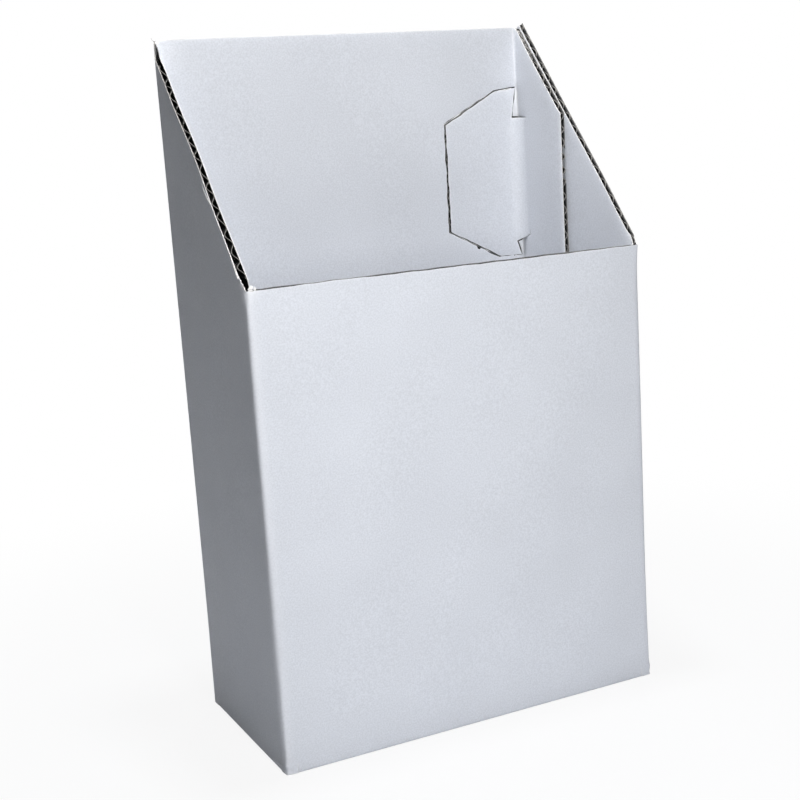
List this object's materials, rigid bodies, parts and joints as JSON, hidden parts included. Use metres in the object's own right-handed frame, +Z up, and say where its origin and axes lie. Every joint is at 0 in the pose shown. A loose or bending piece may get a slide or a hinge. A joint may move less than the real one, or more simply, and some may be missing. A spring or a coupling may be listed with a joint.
{
  "type": "brochure box",
  "caption": "Open-topped box folded from white-lined corrugated board, with a low front, sloped sides and a tall back, for standing brochures upright.",
  "frame": {"origin": "under the middle of the box, on the plane that it stands on", "axes": "+Z up, +X to the right seen from the front, +Y from the low front to the tall back"},
  "size_m": [0.235, 0.115, 0.3883],
  "materials": {
    "board": "matte"
  },
  "bodies": {
    "root": {"brochure_box": "board"}
  },
  "joints": []
}
